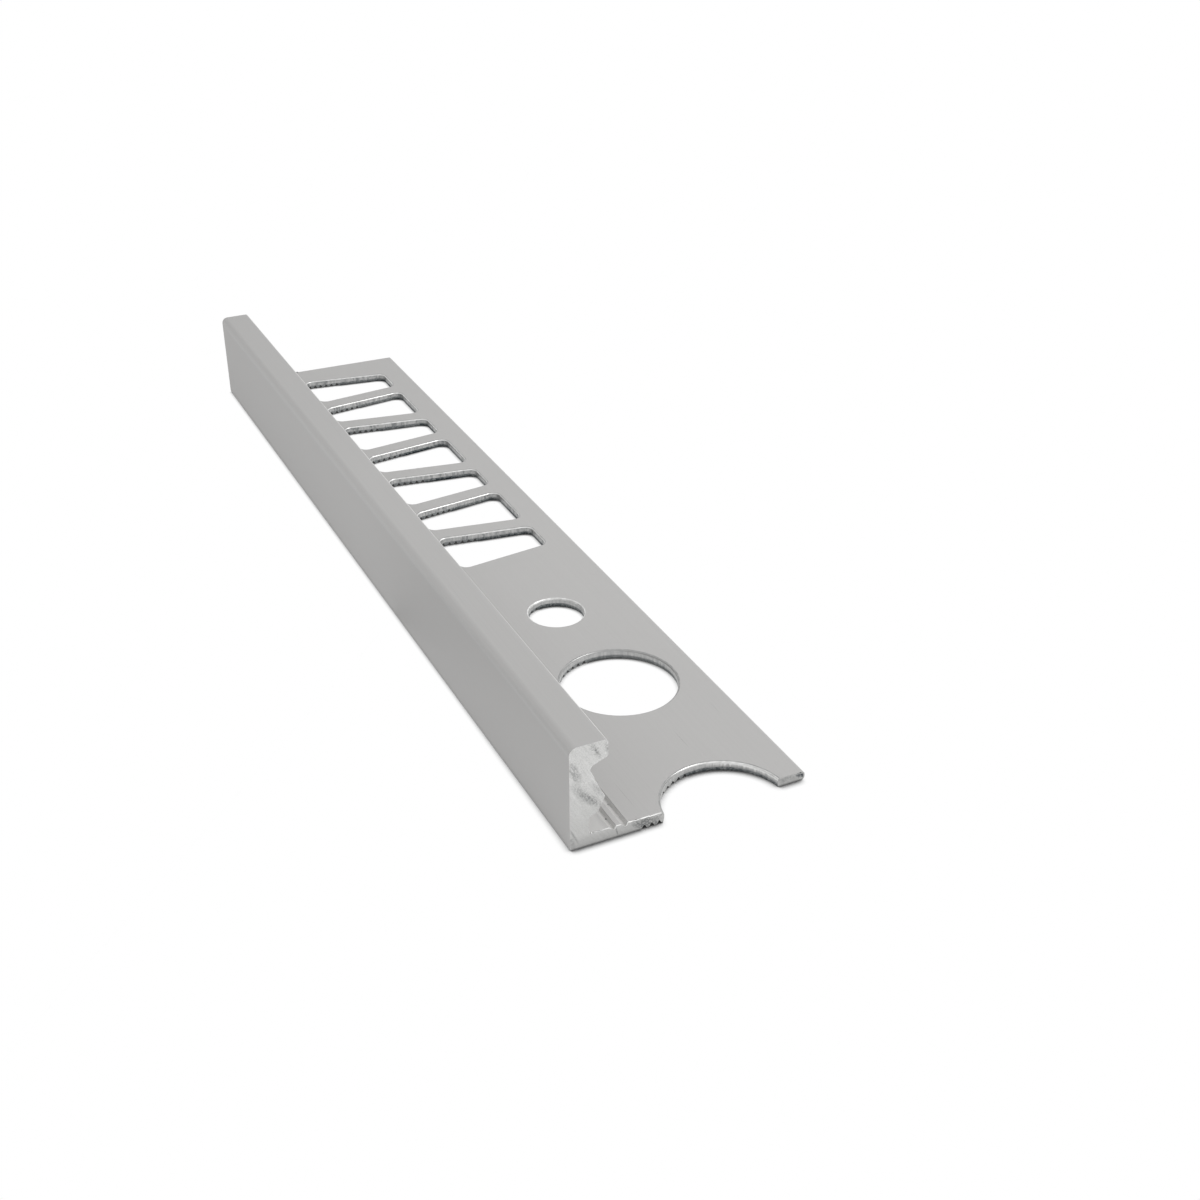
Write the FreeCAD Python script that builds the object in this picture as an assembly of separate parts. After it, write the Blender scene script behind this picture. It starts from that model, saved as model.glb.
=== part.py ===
import FreeCAD, Part
import math
import os

from FreeCAD import Vector

# Tile edge trim, a punched aluminium angle with a square nose.
# The trim lies on its leg: X runs from the wall to the leg's free edge,
# Y along the length, Z up from the underside.  Sizes are millimetres.
# The stock is drawn, punched and only then sawn, so one hole is left halved.

# Overall sizes
trim_length = 104.4
trim_width = 22.1
trim_height = 10.0

# Nose, the bar that stays visible beside the tile
nose_width = 3.42
nose_lip_height = 1.65
nose_outer_radius = 0.7
nose_inner_radius = 0.4
nose_lip_radius = 0.35

# Wall below the nose: a narrow neck, a barb that keys into the mortar, a stem
stem_thickness = 1.72
neck_recess = 0.12
neck_drop = 2.35
neck_radius = 0.6
barb_reach = 1.38
barb_tip_height = 4.4
barb_tip_radius = 0.3
barb_heel_reach = 0.8
barb_heel_height = 3.2
barb_heel_radius = 0.25
barb_root_height = 2.75
barb_root_radius = 0.2
foot_radius = 0.25
heel_radius = 0.12

# Leg, thinner towards its free edge, flat underneath
leg_root_thickness = 1.1
leg_edge_thickness = 0.85
leg_edge_top_radius = 0.35
leg_edge_bottom_radius = 0.3

# Ratchet grooves along the top of the leg, steeper on the side away from the wall
ratchet_start = 3.5
ratchet_pitch = 1.08
ratchet_gentle_width = 0.48
ratchet_steep_width = 0.21
ratchet_depth = 0.3
ratchet_count = 2

# V grooves that grip the mortar under the leg
grip_groove_start = 6.7
grip_groove_pitch = 0.7
grip_groove_width = 0.5
grip_groove_depth = 0.33
grip_groove_count = 10

# Punched row, placed from the free edge and from the near cut
edge_margin = 3.0
opening_span = 10.2
opening_wide_end = 7.2
opening_narrow_end = 4.4
opening_corner_radius = 0.9
opening_web = 2.2
first_opening_start = 45.4
far_end_web = 2.4

# Round holes of the punched row.  The saw cut halves a large one.
large_hole_radius = 5.5
large_hole_pitch = 20.0
cut_hole_overhang = 0.75
small_hole_radius = 2.75
small_hole_pitch = 13.9

# Rounding that the punch leaves on the top edge of each hole
punch_roll_radius = 0.2

# How far the cutting tools reach past the faces that they cut
tool_overrun = 1.0

row_centre = trim_width - edge_margin - opening_span / 2

# The stock starts before the saw cut, far enough to hold the whole halved hole
stock_start = -(cut_hole_overhang + large_hole_radius + opening_web)
stock_length = trim_length - stock_start


def leg_top_at(x):
    # Height of the tapered leg's top face
    run = (x - stem_thickness) / (trim_width - stem_thickness)
    return leg_root_thickness + (leg_edge_thickness - leg_root_thickness) * run


def rounded_wire(corners):
    # Closed outline through corners, each given with its own rounding radius
    arcs = []
    for index, (corner, radius) in enumerate(corners):
        before = (corners[index - 1][0] - corner).normalize()
        after = (corners[(index + 1) % len(corners)][0] - corner).normalize()
        half_angle = before.getAngle(after) / 2
        setback = radius / math.tan(half_angle)
        inward = (before + after).normalize()
        middle = corner + inward * (radius / math.sin(half_angle) - radius)
        arcs.append(Part.Arc(corner + before * setback, middle, corner + after * setback))
    edges = []
    for index, arc in enumerate(arcs):
        edges.append(Part.LineSegment(arcs[index - 1].EndPoint, arc.StartPoint).toShape())
        edges.append(arc.toShape())
    return Part.Wire(edges)


def section_corners():
    # Corners of the section, from the outer heel up and round to the leg's edge
    lip_height = trim_height - nose_lip_height
    return [
        (Vector(0, 0, 0), heel_radius),
        (Vector(0, 0, trim_height), nose_outer_radius),
        (Vector(nose_width, 0, trim_height), nose_inner_radius),
        (Vector(nose_width, 0, lip_height), nose_lip_radius),
        (Vector(stem_thickness - neck_recess, 0, trim_height - neck_drop), neck_radius),
        (Vector(stem_thickness + barb_reach, 0, barb_tip_height), barb_tip_radius),
        (Vector(stem_thickness + barb_heel_reach, 0, barb_heel_height), barb_heel_radius),
        (Vector(stem_thickness, 0, barb_root_height), barb_root_radius),
        (Vector(stem_thickness, 0, leg_root_thickness), foot_radius),
        (Vector(trim_width, 0, leg_edge_thickness), leg_edge_top_radius),
        (Vector(trim_width, 0, 0), leg_edge_bottom_radius),
    ]


def drawn_stock():
    section = Part.Face(rounded_wire(section_corners()))
    section.translate(Vector(0, stock_start, 0))
    return section.extrude(Vector(0, stock_length, 0))


def v_groove(apex_x, apex_z, left_width, right_width, depth, outward):
    # V groove along the whole stock, its flanks carried on past the face that it cuts
    reach = (depth + tool_overrun) / depth
    mouth_z = apex_z + outward * (depth + tool_overrun)
    start_y = stock_start - tool_overrun
    apex = Vector(apex_x, start_y, apex_z)
    left = Vector(apex_x - left_width * reach, start_y, mouth_z)
    right = Vector(apex_x + right_width * reach, start_y, mouth_z)
    section = Part.Face(Part.makePolygon([left, right, apex, left]))
    return section.extrude(Vector(0, stock_length + 2 * tool_overrun, 0))


def ratchet_groove(start):
    # Its depth is taken from the tapered top of the leg above the apex
    apex_x = start + ratchet_gentle_width
    apex_z = leg_top_at(apex_x) - ratchet_depth
    return v_groove(apex_x, apex_z, ratchet_gentle_width, ratchet_steep_width, ratchet_depth, 1)


def grip_groove(centre):
    half_width = grip_groove_width / 2
    return v_groove(centre, grip_groove_depth, half_width, half_width, grip_groove_depth, -1)


def grooves():
    tools = [ratchet_groove(ratchet_start + number * ratchet_pitch) for number in range(ratchet_count)]
    for number in range(grip_groove_count):
        tools.append(grip_groove(grip_groove_start + number * grip_groove_pitch))
    return tools


def round_punch(centre_y, radius):
    foot = Vector(row_centre, centre_y, -tool_overrun)
    return Part.makeCylinder(radius, leg_root_thickness + 2 * tool_overrun, foot)


def tapered_punch(centre_y, wide_at_wall):
    # Rounded trapezium, with its wide end towards the wall or the free edge
    wall_half = (opening_wide_end if wide_at_wall else opening_narrow_end) / 2
    edge_half = (opening_narrow_end if wide_at_wall else opening_wide_end) / 2
    wall_x = row_centre - opening_span / 2
    edge_x = row_centre + opening_span / 2
    outline = rounded_wire([
        (Vector(wall_x, centre_y - wall_half, -tool_overrun), opening_corner_radius),
        (Vector(edge_x, centre_y - edge_half, -tool_overrun), opening_corner_radius),
        (Vector(edge_x, centre_y + edge_half, -tool_overrun), opening_corner_radius),
        (Vector(wall_x, centre_y + wall_half, -tool_overrun), opening_corner_radius),
    ])
    return Part.Face(outline).extrude(Vector(0, 0, leg_root_thickness + 2 * tool_overrun))


def round_holes():
    cut_hole_y = -cut_hole_overhang
    large_hole_y = cut_hole_y + large_hole_pitch
    small_hole_y = large_hole_y + small_hole_pitch
    return [
        round_punch(cut_hole_y, large_hole_radius),
        round_punch(large_hole_y, large_hole_radius),
        round_punch(small_hole_y, small_hole_radius),
    ]


def tapered_openings():
    # Alternately turned openings, as many as the length holds
    pitch = (opening_wide_end + opening_narrow_end) / 2 + opening_web
    first_centre = first_opening_start + opening_wide_end / 2
    last_centre = trim_length - far_end_web - opening_wide_end / 2
    count = int((last_centre - first_centre) / pitch) + 1
    return [tapered_punch(first_centre + number * pitch, number % 2 == 0) for number in range(count)]


def rolled_rims(bar):
    # Inner outlines of the leg's top face, the largest flat face that looks up from the leg
    upward = [
        face for face in bar.Faces
        if isinstance(face.Surface, Part.Plane) and face.normalAt(0, 0).z > 0.9
        and face.BoundBox.ZMax <= leg_root_thickness
    ]
    leg_top = max(upward, key=lambda face: face.Area)
    rims = []
    for wire in leg_top.Wires:
        if not wire.isSame(leg_top.OuterWire):
            rims += wire.Edges
    return rims


def sawn_off_end():
    corner = Vector(-tool_overrun, stock_start - tool_overrun, -tool_overrun)
    width = trim_width + 2 * tool_overrun
    height = trim_height + 2 * tool_overrun
    return Part.makeBox(width, tool_overrun - stock_start, height, corner)


def trim_profile():
    stock = drawn_stock().cut(grooves())
    punched = stock.cut(round_holes() + tapered_openings()).removeSplitter().Solids[0]
    rolled = punched.makeFillet(punch_roll_radius, rolled_rims(punched))
    return rolled.cut(sawn_off_end()).Solids[0]


profile = trim_profile()
profile.translate(Vector(-trim_width / 2, -trim_length / 2, 0))
box = profile.optimalBoundingBox()
print("trim_profile", profile.ShapeType, "valid", profile.isValid(), "solids", len(profile.Solids))
print("size", round(box.XLength, 3), round(box.YLength, 3), round(box.ZLength, 3))
print("volume cm3", round(profile.Volume / 1000, 3))

os.makedirs("parts", exist_ok=True)
profile.exportStep("parts/trim_profile.step")
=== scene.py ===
from math import atan, atan2, cos, hypot, pi, radians, sin, tan

import bmesh
import bpy
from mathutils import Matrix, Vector


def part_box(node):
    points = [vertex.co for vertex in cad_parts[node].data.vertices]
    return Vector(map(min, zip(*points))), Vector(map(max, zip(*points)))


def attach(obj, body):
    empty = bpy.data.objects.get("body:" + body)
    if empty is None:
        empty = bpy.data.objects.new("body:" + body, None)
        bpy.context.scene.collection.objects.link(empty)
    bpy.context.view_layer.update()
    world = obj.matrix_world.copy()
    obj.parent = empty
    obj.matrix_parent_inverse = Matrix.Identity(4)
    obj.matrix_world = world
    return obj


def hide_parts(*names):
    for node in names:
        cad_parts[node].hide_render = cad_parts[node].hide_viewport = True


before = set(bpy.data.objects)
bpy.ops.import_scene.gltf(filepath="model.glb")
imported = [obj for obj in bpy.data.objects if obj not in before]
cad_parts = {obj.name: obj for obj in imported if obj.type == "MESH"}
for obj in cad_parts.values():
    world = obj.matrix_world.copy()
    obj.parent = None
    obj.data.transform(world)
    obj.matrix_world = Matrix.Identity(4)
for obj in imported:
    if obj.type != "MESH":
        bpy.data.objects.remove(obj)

mm = 0.001
hair = 0.001 * mm       # places nearer to each other than this count as one
low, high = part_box("trim_profile")      # the CAD trim's corners: wall at low.x, near sawn end at low.y
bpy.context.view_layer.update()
print("frame loaded, trim", [round(side / mm, 2) for side in high - low], "mm")


# helpers for materials and light

def link(tree, start, end):
    tree.links.new(start, end)


def setting(node, name, value):
    node.inputs[name].default_value = value


def fill(tree, sockets, values):
    # each socket takes a number, a colour or what another node gives
    for socket, value in zip(sockets, values):
        if isinstance(value, (int, float)):
            socket.default_value = value
        elif isinstance(value, tuple):
            socket.default_value = (*value, 1)
        else:
            link(tree, value, socket)


def maths(tree, operation, first, second):
    node = tree.nodes.new("ShaderNodeMath")
    node.operation = operation
    fill(tree, node.inputs, (first, second))
    return node.outputs[0]


def times(tree, first, second):
    return maths(tree, "MULTIPLY", first, second)


def weighted(tree, patterns, shares):
    # the patterns added up, each times its share
    parts = [times(tree, pattern, share) for pattern, share in zip(patterns, shares)]
    total = parts[0]
    for part in parts[1:]:
        total = maths(tree, "ADD", total, part)
    return total


def blended(tree, share, first, second, way="MIX"):
    node = tree.nodes.new("ShaderNodeMix")
    node.data_type = "RGBA"
    node.blend_type = way
    fill(tree, (node.inputs[0], node.inputs[6], node.inputs[7]), (share, first, second))
    return node.outputs[2]


def toned(tree, share, colour, factor):
    # the colour made darker or paler by the factor, for that share
    return blended(tree, share, colour, blended(tree, 1.0, colour, (factor,) * 3, "MULTIPLY"))


def ranged(tree, value, fromLow, fromHigh, toLow=0.0, toHigh=1.0):
    node = tree.nodes.new("ShaderNodeMapRange")
    setting(node, "From Min", fromLow)
    setting(node, "From Max", fromHigh)
    setting(node, "To Min", toLow)
    setting(node, "To Max", toHigh)
    link(tree, value, node.inputs["Value"])
    return node.outputs["Result"]


def within(tree, value, rise, fall):
    # 1 between a rise and a fall, each given by where it starts and ends
    return times(tree, ranged(tree, value, *rise), ranged(tree, value, *fall))


def laid(tree, place, size, turn=(0, 0, 0), middle=(0, 0, 0)):
    # a pattern space of the given size in mm each way, turned and centred on the trim
    mapping = tree.nodes.new("ShaderNodeMapping")
    mapping.vector_type = "TEXTURE"
    setting(mapping, "Location", middle)
    setting(mapping, "Rotation", turn)
    setting(mapping, "Scale", [part * mm for part in size])
    link(tree, place, mapping.inputs["Vector"])
    return mapping.outputs["Vector"]


def distances(tree, place):
    # mm from the wall's outer face, from the near cut and from the underside
    parts = tree.nodes.new("ShaderNodeSeparateXYZ")
    link(tree, laid(tree, place, (1, 1, 1), middle=(low.x, low.y, 0)), parts.inputs[0])
    return parts.outputs["X"], parts.outputs["Y"], parts.outputs["Z"]


def noise(tree, place, size, turn=(0, 0, 0), detail=3.0, rough=0.55, output="Fac"):
    node = tree.nodes.new("ShaderNodeTexNoise")
    setting(node, "Scale", 1.0)
    setting(node, "Detail", detail)
    setting(node, "Roughness", rough)
    link(tree, laid(tree, place, size, turn), node.inputs["Vector"])
    return node.outputs[output]


def placeMaths(tree, operation, *values):
    # arithmetic on whole places, with its numbers in mm
    node = tree.nodes.new("ShaderNodeVectorMath")
    node.operation = operation
    for socket, value in zip(node.inputs, values):
        if isinstance(value, (int, float)):
            socket.default_value = (value * mm,) * 3
        else:
            link(tree, value, socket)
    return node.outputs["Value" if operation == "LENGTH" else "Vector"]


def wandering(tree, place, size, reach):
    # the same space with its lines made to wander, so that marks laid in it get ragged outlines
    drift = noise(tree, place, size, detail=5.0, rough=0.65, output="Color")
    shifted = placeMaths(tree, "MULTIPLY_ADD", drift, 2 * reach, place)
    return placeMaths(tree, "SUBTRACT", shifted, reach)


def oval(tree, place, start, end, width, plane):
    # 1 in the middle of a long oval between two points, seen square to the plane, 0 outside it
    reach = hypot(end[0] - start[0], end[1] - start[1]) / 2 + width
    through = 20                # mm that the oval goes on square to the plane
    slant = atan2(end[1] - start[1], end[0] - start[0])
    alongX, across = (start[0] + end[0]) / 2 * mm, (start[1] + end[1]) / 2 * mm
    if plane == "section":
        middle = (low.x + alongX, low.y, across)
        pattern = laid(tree, place, (reach, through, width), (0, -slant, 0), middle)
    else:
        middle = (low.x + alongX, low.y + across, 0)
        pattern = laid(tree, place, (reach, width, through), (0, 0, slant), middle)
    return ranged(tree, placeMaths(tree, "LENGTH", pattern), 1.0, 0.2)


photoView = {
    "place": (-53.455, -144.664, 82.977),   # mm, in the trim's own frame
    "azimuth": 25.989,          # degrees to the right of straight along the trim
    "elevation": 30.364,        # degrees that the camera looks down
    "lens": 48.459,
    "sensor": 36.0,
    "clip": (0.01, 10.0),       # metres
}


def setCamera(view):
    camData = bpy.data.cameras.new("photoCamera")
    camData.lens = view["lens"]
    camData.sensor_width = view["sensor"]
    camData.clip_start, camData.clip_end = view["clip"]
    camera = bpy.data.objects.new("photoCamera", camData)
    bpy.context.scene.collection.objects.link(camera)
    camera.location = [part * mm for part in view["place"]]
    camera.rotation_euler = (radians(90 - view["elevation"]), 0, -radians(view["azimuth"]))
    bpy.context.scene.camera = camera


studio = {
    "worldLevel": 0.68,         # what lights matt surfaces; mirrors and the camera see white
    "keyToward": (0.62, -0.36, 0.7),
    "keyDistance": 2.0,         # metres
    "keySize": 1.1,
    "keyPower": 13.0,
    "floorSize": 3.0,           # metres
    "floorDrop": 0.01,          # mm under the trim, so that the two never share a plane
    "floorWhite": (0.86, 0.86, 0.86, 1),
    "floorRoughness": 0.9,
    "contactSamples": 16,
    "contactReach": (0.98, 0.62),           # mm that the contact shadow spreads, near end and beyond
    "contactFades": 25.0,       # mm along the trim over which the one becomes the other
    "contactLean": (0.3, 0.72, 0.62),       # the shadow falls away from this side
    "contactMirrored": 0.85,    # the share of the contact shadow that mirrors see
    "contactStops": (           # how open the floor is there, and how light
        (0.2, 0.01),
        (0.36, 0.08),
        (0.43, 0.32),
        (0.5, 0.57),
        (0.58, 0.74),
        (0.66, 0.86),
        (0.8, 1.0),
    ),
}


def seesBackdrop(tree):
    # 1 for rays that should meet the plain white background
    path = tree.nodes.new("ShaderNodeLightPath")
    mirrored = maths(tree, "MAXIMUM", path.outputs["Is Glossy Ray"], path.outputs["Is Transmission Ray"])
    return maths(tree, "MAXIMUM", path.outputs["Is Camera Ray"], mirrored)


def setStudio(values):
    scene = bpy.context.scene
    scene.view_settings.view_transform = "Standard"
    world = bpy.data.worlds.new("whiteStudio")
    scene.world = world
    world.use_nodes = True
    tree = world.node_tree
    sky = tree.nodes["Background"]
    setting(sky, "Color", (1, 1, 1, 1))
    link(tree, ranged(tree, seesBackdrop(tree), 0, 1, values["worldLevel"], 1), sky.inputs["Strength"])

    lampData = bpy.data.lights.new("softKey", "AREA")
    lampData.shape = "DISK"
    lampData.size = values["keySize"]
    lampData.energy = values["keyPower"]
    lamp = bpy.data.objects.new("softKey", lampData)
    scene.collection.objects.link(lamp)
    toward = Vector(values["keyToward"]).normalized()
    lamp.location = toward * values["keyDistance"]
    lamp.rotation_euler = toward.to_track_quat("Z", "Y").to_euler()


def contactShade(tree, values):
    # the grey of the floor near the trim, white further out
    contact = tree.nodes.new("ShaderNodeAmbientOcclusion")
    contact.samples = values["contactSamples"]
    place = tree.nodes.new("ShaderNodeTexCoord").outputs["Object"]
    alongY = distances(tree, place)[1]
    nearReach, farReach = (reach * mm for reach in values["contactReach"])
    reach = ranged(tree, alongY, 0, values["contactFades"], nearReach, farReach)
    link(tree, reach, contact.inputs["Distance"])
    lean = tree.nodes.new("ShaderNodeCombineXYZ")
    fill(tree, lean.inputs, Vector(values["contactLean"]).normalized())
    link(tree, lean.outputs[0], contact.inputs["Normal"])
    shade = tree.nodes.new("ShaderNodeValToRGB")
    stops = shade.color_ramp.elements
    while len(stops) < len(values["contactStops"]):
        stops.new(0.5)
    for stop, (position, level) in zip(stops, values["contactStops"]):
        stop.position = position
        stop.color = (level, level, level, 1)
    link(tree, contact.outputs["AO"], shade.inputs["Fac"])
    cameraRay = tree.nodes.new("ShaderNodeLightPath").outputs["Is Camera Ray"]
    share = maths(tree, "MAXIMUM", cameraRay, values["contactMirrored"])
    return blended(tree, share, (1, 1, 1), shade.outputs["Color"])


def layFloor(values):
    bpy.ops.object.select_all(action="DESELECT")
    bpy.ops.mesh.primitive_plane_add(size=values["floorSize"], location=(0, 0, -values["floorDrop"] * mm))
    floor = bpy.context.object
    floor.name = "studioFloor"
    paint = bpy.data.materials.new("paleFloor")
    paint.use_nodes = True
    tree = paint.node_tree
    diffuse = tree.nodes["Principled BSDF"]
    setting(diffuse, "Base Color", values["floorWhite"])
    setting(diffuse, "Roughness", values["floorRoughness"])
    setting(diffuse, "Specular IOR Level", 0)
    glow = tree.nodes.new("ShaderNodeEmission")
    link(tree, contactShade(tree, values), glow.inputs["Color"])
    mix = tree.nodes.new("ShaderNodeMixShader")
    fill(tree, mix.inputs, (seesBackdrop(tree), diffuse.outputs["BSDF"], glow.outputs["Emission"]))
    link(tree, mix.outputs["Shader"], tree.nodes["Material Output"].inputs["Surface"])
    floor.data.materials.append(paint)


setCamera(photoView)
setStudio(studio)
layFloor(studio)
print("camera, light and floor ready")


# materials, each with its own values; sizes and distances are in mm

holeSpans = {
    # distances from the near cut between which the looks of one hole's walls give way to the next one's
    "halvedFall": (9, 7),
    "largeRise": (9, 12),
    "largeFall": (29, 26),
}


def besideHalvedHole(tree, place, fromX, toX):
    # 1 on one side of the halved hole, rising between two distances from the wall
    acrossX, alongY = distances(tree, place)[:2]
    return times(tree, ranged(tree, acrossX, fromX, toX), ranged(tree, alongY, *holeSpans["halvedFall"]))


def besideLargeHole(tree, place):
    # 1 beside the large round hole, where the rim's painted highlight is left off and the walls' painted
    # shade is fainter
    return within(tree, distances(tree, place)[1], holeSpans["largeRise"], holeSpans["largeFall"])


def newMetal(name, values, gloss=0.2):
    metal = bpy.data.materials.new(name)
    metal.use_nodes = True
    tree = metal.node_tree
    surface = tree.nodes["Principled BSDF"]
    setting(surface, "Metallic", values["metallic"])
    setting(surface, "Specular IOR Level", gloss)
    if isinstance(values["roughness"], float):
        setting(surface, "Roughness", values["roughness"])
    place = tree.nodes.new("ShaderNodeTexCoord").outputs["Object"]
    return metal, tree, surface, place


def dress(tree, surface, colour, height, relief):
    # gives the surface its colour and its relief, as a bump
    link(tree, colour, surface.inputs["Base Color"])
    node = tree.nodes.new("ShaderNodeBump")
    setting(node, "Distance", relief * mm)
    link(tree, height, node.inputs["Height"])
    link(tree, node.outputs["Normal"], surface.inputs["Normal"])


satin = {
    "light": (0.535, 0.53, 0.523),
    "dark": (0.495, 0.49, 0.484),
    "toneSpan": (0.3, 0.7),     # of the pattern, from dark to light
    "metallic": 0.35,
    "roughness": (0.42, 0.50),
    "dieLines": (0.14, 45, 0.14),           # size of the marks across, along and up
    "grain": (0.11, 0.11, 0.11),
    "clouds": (11, 33, 11),
    "toneShares": (0.35, 0.3, 0.35),        # of die lines, grain and clouds
    "reliefShares": (0.6, 0.4),             # of die lines and grain
    "relief": 0.004,
    "visible": 0.93,            # painted shade: the nose and the wall's outer face are coloured a little darker than the leg, where less light falls
    "visibleUp": (1.3, 2.3),    # the heights over which that sets in
    "visibleAcross": (0.4, 0.2),
    "paintedFarShade": 0.92,             # painted shade: the whole trim is coloured darker towards its far end, where less light falls
    "dullsAlong": (52.2, 104.4),
    "paintedRoundingLight": 1.09,              # painted light: the nose's outer rounding is coloured paler, to lift the shade that falls on it
    "roundingLightRise": (9.0, 9.4),
    "roundingLightFall": (9.95, 9.6),
    "roundingLightAcross": (0.5, 0.2),
    "paintedRecessLight": (0.66, 0.655, 0.645),      # painted light: the recess under the barb is coloured paler, to lift the shade that falls there
    "recessLightRise": (1.5, 1.8),
    "recessLightFall": (5.5, 5.4),
    "recessLightBelow": (4.0, 3.0),
    "recessLightFlats": (3.4, 3.0, 0.1, 0.6),         # the painted light is less on the flats than in the dips of the ratchet
    "recessLightDips": (1.06, 1.0),
    "scratch": (0.33, 0.33, 0.325),
    "scratchBreaks": (0.35, 0.6, 0.2, 0.9),         # the grain breaks the scratches up
    "scratches": (              # start and end from the wall and the near cut, half width
        ((6.6, 6.0), (6.7, 0.8), 0.03),
        ((14.8, 10.5), (14.8, 6.7), 0.035),
        ((19.9, 12.9), (19.9, 10.6), 0.025),
        ((7.3, 41.3), (7.6, 37.4), 0.03),
        ((5.7, 24.6), (6.3, 17.3), 0.025),
        ((0.9, 22.0), (1.25, 31.0), 0.02),
        ((2.3, 62.0), (2.6, 70.0), 0.02),
    ),
    "speck": (0.05, 0.06, 0.065),
    "specks": (
        ((3.92, 1.5), (3.96, 1.62), 0.1),
        ((4.95, 3.1), (4.98, 3.3), 0.07),
        ((3.9, 9.0), (3.92, 9.2), 0.08),
    ),
}


def satinAluminium(values):
    # drawn and etched skin: die lines along the trim, fine grain, faint clouding and a few scratches, with
    # painted shade on the nose, the wall and towards the far end, and painted light on the nose's outer
    # rounding and in the recess under the barb
    metal, tree, surface, place = newMetal("satinAluminium", values)
    dieLines = noise(tree, place, values["dieLines"], detail=2.0)
    grain = noise(tree, place, values["grain"], detail=2.0)
    clouds = noise(tree, place, values["clouds"])
    tone = weighted(tree, (dieLines, grain, clouds), values["toneShares"])
    colour = blended(tree, ranged(tree, tone, *values["toneSpan"]), values["dark"], values["light"])
    acrossX, alongY, height = distances(tree, place)
    # painted shade: the nose and the wall's outer face darker than the leg
    onNose = ranged(tree, height, *values["visibleUp"])
    onShow = maths(tree, "MAXIMUM", onNose, ranged(tree, acrossX, *values["visibleAcross"]))
    colour = toned(tree, onShow, colour, values["visible"])
    # painted shade towards the far end
    colour = toned(tree, ranged(tree, alongY, *values["dullsAlong"]), colour, values["paintedFarShade"])
    # painted light on the nose's outer rounding
    paintedRoundingLight = within(tree, height, values["roundingLightRise"], values["roundingLightFall"])
    paintedRoundingLight = times(tree, paintedRoundingLight, ranged(tree, acrossX, *values["roundingLightAcross"]))
    colour = toned(tree, paintedRoundingLight, colour, values["paintedRoundingLight"])
    # painted light in the recess under the barb
    paintedRecessLight = within(tree, acrossX, values["recessLightRise"], values["recessLightFall"])
    paintedRecessLight = times(tree, paintedRecessLight, ranged(tree, height, *values["recessLightBelow"]))
    flats = ranged(tree, acrossX, *values["recessLightFlats"])
    dips = ranged(tree, height, *values["recessLightDips"])
    paintedRecessLight = times(tree, paintedRecessLight, maths(tree, "MAXIMUM", flats, dips))
    colour = blended(tree, paintedRecessLight, colour, values["paintedRecessLight"])
    broken = ranged(tree, grain, *values["scratchBreaks"])
    for start, end, width in values["scratches"]:
        line = times(tree, oval(tree, place, start, end, width, "plan"), broken)
        colour = blended(tree, line, colour, values["scratch"])
    for start, end, width in values["specks"]:
        colour = blended(tree, oval(tree, place, start, end, width, "plan"), colour, values["speck"])
    roughness = ranged(tree, tone, *values["toneSpan"], *values["roughness"])
    link(tree, roughness, surface.inputs["Roughness"])
    relief = weighted(tree, (dieLines, grain), values["reliefShares"])
    dress(tree, surface, colour, relief, values["relief"])
    return metal


sawn = {
    "light": (0.80, 0.80, 0.79),
    "mid": (0.57, 0.57, 0.56),
    "toneSpan": (0.35, 0.65),
    "low": (0.52, 0.52, 0.51),          # darker towards the heel
    "lowFades": (6.5, 2, 0, 0.6),       # from and to this height, from and to this share
    "lowest": (0.38, 0.38, 0.375),      # on the end of the leg
    "lowestFades": (1.3, 0.7, 0, 0.35),
    "dark": (0.17, 0.175, 0.175),
    # painted shade along the cut's bottom edge, where the contact shadow falls
    "darkFades": (0.17, 0.03, 0, 0.75),
    "deep": (0.02, 0.03, 0.04),
    "metallic": 0.5,
    "roughness": (0.55, 0.42),
    "bladeTurn": 59.0,          # degrees at which the blade crossed the section
    "marks": (1.8, 1.8, 0.16),
    "grain": (0.09, 0.09, 0.09),
    "toneShares": (0.3, 0.7),           # of blade marks and grain
    "relief": 0.02,
    "wander": 0.45,             # how far the smudges' outlines stray
    "wanderSize": (0.5, 0.5, 0.5),
    "breaks": (0.2, 0.2, 0.15),         # the pattern that breaks smudges and lines up
    "smudgeBreaks": (0.42, 0.58),
    "smudgeShares": (0.1, 1.1),         # the least, and the most as a factor of the strength
    "lineBreaks": (0.38, 0.55),
    "lineShares": (0.4, 1),             # both as factors of the strength
    "smudges": (                # start and end from the wall and the underside, half width, strength
        ((1.85, 9.9), (2.7, 8.5), 0.3, 0.8),
        ((3.15, 9.7), (3.35, 8.5), 0.2, 0.6),
        ((0.05, 8.5), (0.85, 6.6), 0.5, 0.65),
        ((0.3, 6.4), (1.6, 4.6), 0.55, 0.5),
        ((1.1, 5.4), (2.7, 3.6), 0.55, 0.75),
        ((2.0, 6.2), (2.9, 4.5), 0.3, 0.4),
        ((-0.1, 1.7), (0.3, 0.1), 0.35, 0.5),
        ((5.7, 0.75), (8.0, 0.5), 0.5, 1.5),
        ((18.9, 0.8), (21.7, 0.5), 0.35, 0.5),
    ),
    "deepShades": (                 # the same for painted shade at the darkest places, by the key grooves' mouths and at the free edge's tip
        ((6.3, 0.3), (7.0, 0.25), 0.22, 0.95),
        ((7.3, 0.15), (8.2, 0.2), 0.15, 0.7),
        ((21.5, 0.75), (22.0, 0.35), 0.34, 1.4),
    ),
    "lines": (                  # the same for cracks and a dragged edge, drawn straight
        ((0.0, 2.2), (0.75, 0.5), 0.13, 0.6),
        ((4.1, 1.05), (4.3, 0.1), 0.09, 0.8),
        ((7.75, 0.93), (8.02, 0.72), 0.06, 0.9),
        ((8.02, 0.74), (8.4, 0.97), 0.06, 0.9),
    ),
    "smear": (2.4, 2.4, 0.7),           # at the far end the smears are left to chance
    "smearFades": (0.58, 0.7, 0, 0.6),
}


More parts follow.
